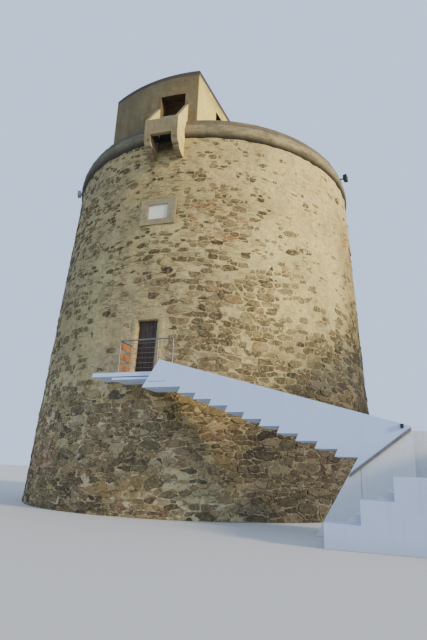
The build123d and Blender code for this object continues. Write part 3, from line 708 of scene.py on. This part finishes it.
class Ripple:
    """Smooth random height over the tower's face, without a seam at the rear."""

    def __init__(self, around_waves, upright_waves, count=26):
        self.turns = chance.integers(-around_waves, around_waves + 1, count)
        self.rises = chance.normal(0, upright_waves, count)
        self.starts = chance.uniform(0, math.tau, count)
        self.scale = math.sqrt(2 / count)

    def at(self, azimuth, height):
        total = np.zeros(np.broadcast(azimuth, height).shape)
        for turn, rise, start in zip(self.turns, self.rises, self.starts):
            total = total + np.cos(turn * azimuth + rise * height + start)
        return total * self.scale


COURSE_SAG = Ripple(9, 1.6)
SKIN_WAVES = Ripple(90, 14.0, 60)
SKIN_PATCHES = Ripple(44, 7.0, 50)
SKIN_SWELL = Ripple(14, 2.2, 40)

# How bare the masonry is: azimuth in degrees, height in metres, share of bare stone
BARE_SPOTS = (
    (-75, 1.5, 1.0), (-35, 1.5, 1.0), (0, 1.5, 1.0), (35, 1.5, 1.0), (75, 1.5, 1.0),
    (-60, 3.4, 0.95), (-20, 3.2, 1.0), (10, 3.2, 1.0), (40, 3.4, 1.0), (75, 3.4, 0.9),
    (-70, 5.5, 0.72), (-40, 5.2, 0.55), (-18, 4.9, 0.34), (-5, 4.9, 0.24), (11, 5.0, 1.0),
    (22, 4.9, 1.0), (38, 5.0, 1.0), (56, 4.8, 1.0), (75, 5.4, 0.8), (-12, 6.9, 0.38),
    (14, 6.8, 0.75), (30, 6.4, 1.0), (48, 6.2, 0.8),
    (55, 6.9, 0.45), (-60, 8.0, 0.88), (-30, 7.8, 0.60), (-8, 8.0, 0.50), (20, 8.3, 0.85),
    (42, 8.3, 0.34), (65, 8.5, 0.10), (-55, 10.4, 0.88), (-25, 10.4, 0.62), (-6, 10.2, 0.38),
    (14, 10.2, 0.62), (29, 10.1, 0.52), (46, 10.3, 0.12), (72, 10.5, 0.08), (-30, 12.2, 0.60),
    (0, 12.0, 0.42), (25, 12.1, 0.28), (50, 12.1, 0.08), (120, 2.0, 1.0), (180, 2.0, 1.0),
    (240, 2.0, 1.0), (120, 6.0, 0.6), (180, 6.0, 0.7), (240, 6.0, 0.75), (120, 10.5, 0.35),
    (180, 10.5, 0.5), (240, 10.5, 0.6),
)


def bareness(azimuth, height):
    """Share of bare stone, blended between the spots."""
    azimuth, height = np.broadcast_arrays(np.asarray(azimuth, float), np.asarray(height, float))
    total = np.zeros(azimuth.shape)
    weight = np.zeros(azimuth.shape)
    for degrees, level, share in BARE_SPOTS:
        turn = np.angle(np.exp(1j * (azimuth - math.radians(degrees)))) * UNROLLED_RADIUS
        nearness = 1.0 / (turn**2 + ((height - level) * 1.3) ** 2 + 0.3) ** 1.6
        total += nearness * share
        weight += nearness
    return total / weight


def mortar_depth(azimuth, height):
    """How far the mortar or render stands proud of the wall's core."""
    thin, thick = 0.006, 0.046
    cover = (1.0 - bareness(azimuth, height)).clip(0, 1)
    depth = thin + (thick - thin) * cover**1.2
    depth = depth + (0.002 + 0.006 * cover) * SKIN_WAVES.at(azimuth, height)
    depth = depth + (0.002 + 0.011 * cover) * SKIN_PATCHES.at(azimuth, height)
    depth = depth + 0.004 * SKIN_SWELL.at(azimuth, height)
    return depth.clip(0.002, 0.070)


# Patches of thin brick: azimuth in degrees, height, half width in degrees, half height, share
BRICK_SPOTS = (
    (-42, 1.6, 10, 0.5, 0.95), (-30, 1.5, 7, 0.35, 0.75), (-22, 9.4, 7, 0.9, 0.45),
    (20, 9.7, 8, 0.5, 0.6), (26, 8.6, 8, 0.35, 0.45), (-33, 10.6, 6, 0.5, 0.4),
    (50, 8.0, 5, 0.5, 0.3), (160, 8.5, 9, 0.9, 0.5), (215, 5.0, 8, 0.8, 0.5),
)


def brick_share(azimuth, height):
    share = 0.0
    for degrees, level, half_turn, half_height, most in BRICK_SPOTS:
        turn = math.degrees(math.remainder(azimuth - math.radians(degrees), math.tau)) / half_turn
        share = max(share, most * math.exp(-(turn**2) - ((height - level) / half_height) ** 2))
    return share


# Stone colours with their shares: the foot, the middle of the wall, and high up, then the bricks
FOOT_TONES = (
    ((140, 125, 92), 0.26), ((112, 101, 74), 0.24), ((172, 156, 118), 0.16), ((132, 107, 82), 0.10),
    ((150, 128, 86), 0.08), ((88, 78, 62), 0.16),
)
MIDDLE_TONES = (
    ((136, 121, 82), 0.32), ((114, 101, 68), 0.28), ((164, 147, 100), 0.12), ((104, 90, 60), 0.14),
    ((136, 112, 74), 0.04), ((84, 72, 49), 0.06),
)
HIGH_TONES = (
    ((130, 114, 80), 0.34), ((106, 91, 64), 0.32), ((150, 132, 94), 0.14), ((84, 71, 50), 0.15),
)
FOOT_BRICK_TONES = (((160, 110, 80), 0.45), ((132, 92, 68), 0.30), ((176, 150, 118), 0.25))
BRICK_TONES = (((146, 108, 70), 0.4), ((122, 88, 58), 0.35), ((166, 142, 98), 0.25))


def pick_tone(kind, level):
    if kind == BRICK:
        tones = FOOT_BRICK_TONES if level < FOOT_TOP - 0.1 else BRICK_TONES
    elif level < FOOT_TOP - 0.1 + chance.normal(0, 0.8):
        tones = FOOT_TONES
    elif level < MIDDLE_TOP + 0.2 + chance.normal(0, 1.0):
        tones = MIDDLE_TONES
    else:
        tones = HIGH_TONES
    shares = np.array([share for _, share in tones])
    picked = tones[chance.choice(len(tones), p=shares / shares.sum())][0]
    tone = np.array(linear(*picked)[:3])
    return np.clip(tone * chance.normal(1.0, 0.13), 0.01, 0.8)


# Laying out the stones


def course_height(level):
    if level < FOOT_TOP:
        return chance.uniform(0.09, 0.25)
    if level < MIDDLE_TOP:
        return chance.uniform(0.14, 0.27)
    return chance.uniform(0.11, 0.20)


def lay_courses():
    """Middles of the stones on the unrolled wall: along, up, pull on its edges, kind."""
    stones = []
    level = 0.0
    while level < TOWER_TOP:
        height = course_height(level)
        foot = level < FOOT_TOP
        chips, wander, longer = (0.50, 0.16, 0.66) if foot else (0.20, 0.09, 0.50)
        place = chance.uniform(0, 0.3)
        while place < ROUND:
            if chance.random() < brick_share(place / UNROLLED_RADIUS, level + height / 2):
                run = chance.uniform(0.20, 0.28)
                rows = max(2, round(height / BRICK_HEIGHT))
                for row in range(rows):
                    shift = run * (0.5 + 0.22 * (-1) ** row)
                    stones.append((place + shift, level + height * (row + 0.5) / rows, 0.0, BRICK))
            else:
                run = float(np.clip(height * math.exp(chance.normal(longer, 0.44)), 0.12, 0.75))
                rise = height * (0.5 + chance.normal(0, wander))
                pull = chance.uniform(0.0, 0.006) + (0.018 if chance.random() < 0.06 else 0.0)
                stones.append((place + run / 2, level + rise, pull, RUBBLE))
                if chance.random() < chips:
                    rise = height * chance.uniform(0.1, 0.9)
                    stones.append((place + run, level + rise, -0.002, CHIP))
            place += run
        level += height
    return np.array(stones)


def cut_shape(shape, across, upright, limit):
    """The part of a convex shape on the near side of a straight cut."""
    kept = []
    for (x0, y0), (x1, y1) in zip(shape, shape[1:] + shape[:1]):
        spare0 = limit - across * x0 - upright * y0
        spare1 = limit - across * x1 - upright * y1
        if spare0 >= 0:
            kept.append((x0, y0))
        if (spare0 < 0) != (spare1 < 0):
            part = spare0 / (spare0 - spare1)
            kept.append((x0 + part * (x1 - x0), y0 + part * (y1 - y0)))
    return kept


def fit_stones(stones):
    """Outline of each stone round its middle, cut where it meets its neighbours, less the joint."""
    squeeze, most_neighbours = 2.4, 25
    half_length, half_height = 0.6, 0.32
    seam, window_along, window_up = 1.5, 1.0, 0.55
    before = stones[stones[:, 0] > ROUND - seam] - (ROUND, 0, 0, 0)
    after = stones[stones[:, 0] < seam] + (ROUND, 0, 0, 0)
    everyone = np.concatenate([stones, after, before])
    outlines = []
    for along, up, pull, kind in stones:
        beside = np.abs(everyone[:, 0] - along) < window_along
        near = everyone[beside & (np.abs(everyone[:, 1] - up) < window_up)]
        x, y = (near[:, 0] - along) / squeeze, near[:, 1] - up
        apart = np.hypot(x, y)
        order = np.argsort(apart)[1 : most_neighbours + 1]
        widest = 0.012 if up < FOOT_TOP else 0.016
        joint = 0.005 if kind == BRICK else chance.uniform(0.004, widest)
        low, high = (-half_length, -half_height), (half_length, half_height)
        shape = [low, (high[0], low[1]), high, (low[0], high[1])]
        shape = cut_shape(shape, 0.0, -1.0, up)
        shape = cut_shape(shape, 0.0, 1.0, TOWER_TOP - 0.015 - up)
        for k in order:
            gap = max(apart[k], 1e-4)
            across, upright = x[k] / gap / squeeze, y[k] / gap
            limit = (gap * gap + pull - near[k, 2]) / (2 * gap)
            slant = math.hypot(across, upright)
            shape = cut_shape(shape, across, upright, limit - joint * slant)
            if len(shape) < 3:
                break
        if len(shape) >= 3:
            outlines.append((along / UNROLLED_RADIUS, up, int(kind), shape))
    return outlines


def clear_of_fittings(azimuth, height, half_length, half_height):
    """False where the door, its surround or the plaque stands."""
    if math.cos(azimuth) < 0:
        return True
    x, solid_part = math.sin(azimuth) * wall_radius(height), 0.8
    left, right = x - half_length * solid_part, x + half_length * solid_part
    low, high = height - half_height * solid_part, height + half_height * solid_part
    top = DOOR_HEAD + SURROUND_TOP
    door = (DOOR_LEFT - SURROUND_SIDE, DOOR_RIGHT + SURROUND_SIDE, SILL - 0.03, top)
    plaque = (PLAQUE_FRAME[0].x, PLAQUE_FRAME[1].x, PLAQUE_FRAME[0].z, PLAQUE_FRAME[1].z)
    for x0, x1, z0, z1 in (door, plaque):
        if right > x0 and left < x1 and high > z0 and low < z1:
            return False
    return True


def worn_corners(shape, cut, ragged):
    """The outline with its corners cut off and its edges broken by a little."""
    points = []
    count = len(shape)
    size = math.sqrt(np.prod(np.ptp(np.array(shape), axis=0)))
    for k in range(count):
        here, after = np.array(shape[k]), np.array(shape[(k + 1) % count])
        edge = after - here
        length = max(math.hypot(*edge), 1e-6)
        part = min(cut / length, 0.34)
        stops = (part, 0.5, 1.0 - part) if length > 0.09 and ragged else (part, 1.0 - part)
        outward = np.array((edge[1], -edge[0])) / length
        for stop in stops:
            points.append(here + edge * stop + outward * (chance.normal(-0.2, 1.0) * ragged * size))
    return np.array(points)


def ring_faces(sides, rings):
    """Faces of stacked rings, closed by a point in the middle."""
    last = (rings - 1) * sides
    cap = [(last + k, last + (k + 1) % sides, rings * sides) for k in range(sides)]
    return sheet_faces(sides, rings) + cap


def carve_stones(outlines, name, material):
    """Hewn stones from their outlines, joined in one mesh, each with its own tone, darkened toward
    its edge as painted shade.
    """
    vertices, faces, tones = [], [], []
    base = 0
    for azimuth, height, kind, shape, bare, mortar in outlines:
        brick = kind == BRICK
        foot = height < FOOT_TOP + 0.1
        width, rise = np.ptp(np.array(shape), axis=0)
        cut = 0.006 if brick else min(width, rise) * chance.uniform(0.06, 0.20)
        edge = worn_corners(shape, cut, 0.0 if brick else 0.030)
        sides = len(edge)
        middle = edge.mean(0)
        reach = (edge - middle) * (1.0 - (1.0 - bare) * chance.uniform(0.0, 0.35))
        most = 0.012 if brick else 0.008 + 0.010 * bare + (0.012 if foot else 0.0)
        bulge = mortar + chance.uniform(0.002, most)
        rough = 0.001 if brick else 0.0030
        lean = chance.normal(0, 0.02 if brick else 0.05, 2)
        # Painted shade: the tone darkens toward each stone's edge, where it meets the mortar
        rim_shade, shoulder_shade = (0.55, 0.80) if foot else (0.70, 0.90)
        rings = ((1.0, -0.012, rim_shade), (0.985, bulge * 0.7, shoulder_shade), (0.87, bulge, 1.0))
        if rise < 0.10:
            rings = ((1.0, -0.012, rim_shade), (0.92, bulge, 1.0))
        tone = pick_tone(kind, height)
        lime_and_sunlit = (0.30 if height < MIDDLE_TOP + 0.2 else 0.16) + 0.50 * (1.0 - bare) ** 2
        lime_and_sunlit += 0.5 if chance.random() < 0.12 else 0.0
        layers, shades = [], []
        for share, out, shade in rings:
            depth = np.full(sides, out)
            if out > 0:
                depth = depth + chance.normal(0, rough, sides) + (reach * share) @ lean
                depth = depth.clip(0.0, 0.085)
            layers.append(np.column_stack([middle + reach * share, depth]))
            shades.append(np.full(sides, shade))
        layers.append(np.array([[middle[0], middle[1], bulge + chance.normal(0, rough)]]))
        shades.append(np.ones(1))
        stacked = np.concatenate(layers)
        shade = np.concatenate(shades)[:, None]
        turn = azimuth + stacked[:, 0] / UNROLLED_RADIUS
        vertices.append(np.column_stack([turn, height + stacked[:, 1], stacked[:, 2]]))
        tones.append(np.column_stack([tone * shade, np.full(len(shade), min(lime_and_sunlit, 0.9))]))
        faces.extend([tuple(base + i for i in face) for face in ring_faces(sides, len(rings))])
        base += len(stacked)
    flat = np.concatenate(vertices)
    placed = around(flat[:, 0], sagged(flat[:, 0], flat[:, 1]), flat[:, 2])
    placed[:, 2] = np.maximum(placed[:, 2], 0.0)
    piece = add_piece(name, placed, faces, material, smooth=False)
    colours = piece.data.color_attributes.new("tone", "FLOAT_COLOR", "POINT")
    colours.data.foreach_set("color", np.concatenate(tones).astype(np.float32).ravel())


def sagged(azimuth, height):
    """Height of a point once the courses wander up and down, less so at the foot and the top."""
    ends = np.minimum(height, TOWER_TOP - height).clip(0, 0.6) / 0.6
    return (height + 0.055 * ends * COURSE_SAG.at(azimuth, height)).clip(0.0, TOWER_TOP - 0.012)


def build_rubble(material):
    """All stones that show through the mortar, in one piece for each part of the wall's height."""
    outlines = fit_stones(lay_courses())
    azimuth = np.array([outline[0] for outline in outlines])
    height = sagged(azimuth, np.array([outline[1] for outline in outlines]))
    bare = bareness(azimuth, height)
    mortar = mortar_depth(azimuth, height)
    shown = []
    for (turn, level, kind, shape), share, depth in zip(outlines, bare, mortar):
        width, rise = np.ptp(np.array(shape), axis=0)
        if min(width, rise) < 0.03 or not clear_of_fittings(turn, level, width / 2, rise / 2):
            continue
        if share > 0.85 or kind == BRICK or chance.random() < share * 0.9:
            shown.append((turn, level, kind, shape, min(share / 0.9, 1.0), depth))
    levels = (0.0, 1.7, 3.4, 5.2, 8.0, 10.4, TOWER_TOP)
    for number, (low, high) in enumerate(zip(levels, levels[1:]), start=1):
        part = [outline for outline in shown if low <= outline[1] < high]
        carve_stones(part, f"stones_{number}", material)


# Render, band and door


def plaster_skin(material):
    """Skin of mortar and render over the whole tower, thicker where the stone is covered."""
    columns, rows = 480, 156
    azimuth = np.linspace(0, math.tau, columns, endpoint=False)
    height = np.linspace(0, TOWER_TOP - 0.002, rows)
    turn, level = np.meshgrid(azimuth, height)
    proud = mortar_depth(turn, level)
    points = around(turn, level, proud)
    low, high = PLAQUE_FRAME
    front = points[..., 1] < 0
    under_frame = front & (points[..., 0] > low.x) & (points[..., 0] < high.x)
    under_frame &= (points[..., 2] > low.z) & (points[..., 2] < high.z)
    proud = np.where(under_frame, 0.001, proud)
    points = around(turn, level, proud).reshape(-1, 3)
    points[:, 2] = np.clip(points[:, 2], 0.0, TOWER_TOP)
    margin, below, above = 0.16, 0.19, 0.20
    faces = []
    for face in sheet_faces(columns, rows):
        x, y, z = points[list(face)].mean(0)
        at_door = y <= 0 and DOOR_LEFT - margin < x < DOOR_RIGHT + margin
        if not (at_door and SILL - below < z < DOOR_HEAD + above):
            faces.append(face)
    add_piece("plaster_skin", points, faces, material)


def band_skin(material):
    """Lumpy cement coat over the parapet band, open where the lookout passes through it."""
    outline = (
        (5.99, 12.665), (6.085, 12.685), (6.150, 12.77), (6.166, 12.90), (6.158, 13.04),
        (6.120, 13.20), (6.070, 13.36), (6.010, 13.50), (5.945, 13.572), (5.82, 13.575),
        (5.62, 13.57), (5.43, 13.555),
    )
    columns = 620
    turns = np.radians(np.linspace(LOOKOUT_RIGHT, 360 + LOOKOUT_LEFT, columns))
    lumps = Ripple(110, 9.0, 60)
    sags = Ripple(26, 1.0, 30)
    points = []
    for number, (radius, level) in enumerate(outline):
        loose = 0.0 if number in (0, len(outline) - 1) else 1.0
        swell = 0.007 * lumps.at(turns, level * 3.0) + 0.006 * sags.at(turns, level)
        droop = 0.010 * sags.at(turns + 1.3, 2.0) + 0.005 * lumps.at(turns, 40.0)
        reach = radius + loose * swell.clip(-0.012, 0.02)
        rise = level + (droop if number < 4 else 0.35 * loose * droop)
        points.append(np.stack([np.sin(turns) * reach, -np.cos(turns) * reach, rise], -1))
    faces = sheet_faces(columns, len(outline), False)
    add_piece("band_skin", np.concatenate(points), faces, material)


def part_way(start, end, part):
    return [a * (1 - part) + b * part for a, b in zip(start, end)]


def door_surround(material):
    """Smooth render in the door's reveal and round its opening, with a ragged outer edge."""
    lining = 0.005
    left, right, head = DOOR_LEFT + lining, DOOR_RIGHT - lining, DOOR_HEAD - HEAD_LINING
    inner = [(left, SILL), (left, head), (right, head), (right, SILL)]
    left, right = DOOR_LEFT - SURROUND_SIDE, DOOR_RIGHT + SURROUND_SIDE
    head = DOOR_HEAD + SURROUND_TOP
    outer = [(left, SILL), (left, head), (right, head), (right, SILL)]
    profile = (
        (0.0, -0.155), (0.0, 0.012), (0.05, 0.024), (0.5, 0.024), (0.85, 0.018), (1.0, -0.012),
    )
    steps = 22
    rows = []
    for share, proud in profile:
        row = []
        for side in range(3):
            for step in range(steps + (side == 2)):
                near = part_way(inner[side], inner[side + 1], step / steps)
                far = part_way(outer[side], outer[side + 1], step / steps)
                ragged = share + (chance.normal(0, 0.07) if share > 0.8 else 0.0)
                x, z = (a + (b - a) * ragged for a, b in zip(near, far))
                z = max(z, SILL)
                wave = chance.normal(0, 0.002) if proud > 0.02 else 0.0
                radius = wall_radius(z) + proud + wave
                row.append((x, -math.sqrt(radius**2 - x**2), z))
        rows.append(row)
    points = [p for row in rows for p in row]
    faces = [face[::-1] for face in sheet_faces(len(rows[0]), len(rows), False)]
    add_piece("door_surround", points, faces, material)


def bevel_edges(node, width, segments=2):
    modifier = nodes[node].modifiers.new("soft_edges", "BEVEL")
    modifier.width = width
    modifier.segments = segments
    modifier.limit_method = "ANGLE"
    modifier.angle_limit = math.radians(35)


def dress(material, *names):
    for name in names:
        slots = nodes[name].data.materials
        slots.clear()
        slots.append(material)


def door_boards(material):
    """Upright boards on the leaf's outer face, each with eased edges."""
    low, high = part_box("entrance_door")
    boards, gap, ease, knuckles = 6, 0.005, 0.004, 0.032
    left = low.x + knuckles
    pitch = (high.x - left) / boards
    vertices, faces = [], []
    for board in range(boards):
        x0, x1 = left + board * pitch + gap / 2, left + (board + 1) * pitch - gap / 2
        depth = 0.012 + chance.uniform(0, 0.003)
        profile = [
            (x0, 0.0), (x0, depth - ease), (x0 + ease, depth),
            (x1 - ease, depth), (x1, depth - ease), (x1, 0.0),
        ]
        start, count = len(vertices), len(profile)
        for z in (low.z + ease, high.z - ease):
            vertices.extend((x, low.y - proud, z) for x, proud in profile)
        for k in range(count - 1):
            faces.append((start + k, start + k + 1, start + count + k + 1, start + count + k))
        faces.append(tuple(start + k for k in reversed(range(count))))
        faces.append(tuple(start + count + k for k in range(count)))
    add_piece("door_boards", vertices, faces, material, body="door", smooth=False)


# Put together

add_camera()
add_lights()
add_floor()

mortar = lime_mortar()
cement = band_cement()
timber = dark_boards()

tower_nodes = (
    "tower_base", "wall_front_left", "wall_front_right", "wall_over_door", "wall_right",
    "wall_rear_right", "wall_rear_left", "wall_left", "upper_tower",
)
band_nodes = (
    "parapet_front_left", "parapet_front_right", "parapet_right", "parapet_rear", "parapet_left",
)
guard_nodes = ("guardhouse_front", "guardhouse_left", "guardhouse_right", "guardhouse_rear")
sky_tinted_nodes = (
    "landing_slab", "upper_flight", "stair_parapet", "seat_block_1", "seat_block_2", "seat_block_3",
)
deep_shade_nodes = ("spine_wall", "lower_flight", "half_landing", "half_landing_parapet")
sharp_nodes = (
    "guardhouse_front", "guardhouse_right", "lookout_front", "lookout_cheeks", "plaque_frame",
)
dress(mortar, *tower_nodes)
dress(cement, *band_nodes)
dress(guardhouse_render(), *guard_nodes)
dress(roof_cement(), "guardhouse_roof")
dress(lookout_plaster(), "lookout_front", "lookout_cheeks")
dress(corbel_stone(), "corbels")
dress(plaque_render(), "plaque_frame")
dress(plaque_marble(), "plaque")
dress(paving_stone(), "chamber_floor", "terrace_paving")
# Two copies of one white paint: one tinted blue as painted shade from the sky, and a warmer one for
# the parts in deep shade, where it offsets the blue of the sky light
white_paint_sky_tinted = painted_concrete("white_paint_sky_tinted", (200, 217, 246), (188, 205, 234))
dress(white_paint_sky_tinted, *sky_tinted_nodes)
white_paint_for_shade = painted_concrete("white_paint_for_shade", (232, 230, 228), (220, 218, 216))
dress(white_paint_for_shade, *deep_shade_nodes)
dress(dull_rail(), "stair_rail", "landing_railing", "end_railing")
dress(timber, "entrance_door", "door_frame")
dress(barrier_paint(), "barrier_boards")
dress(lamp_paint(), "flood_lamps")
dress(light_paint(), "wall_light")
dress(grey_glass(), "lookout_pane")

for name in sky_tinted_nodes + deep_shade_nodes:
    bevel_edges(name, 0.006)
for name in sharp_nodes:
    bevel_edges(name, 0.014)

build_rubble(rubble_stone())
plaster_skin(mortar)
band_skin(cement)
door_surround(mortar)
door_boards(timber)
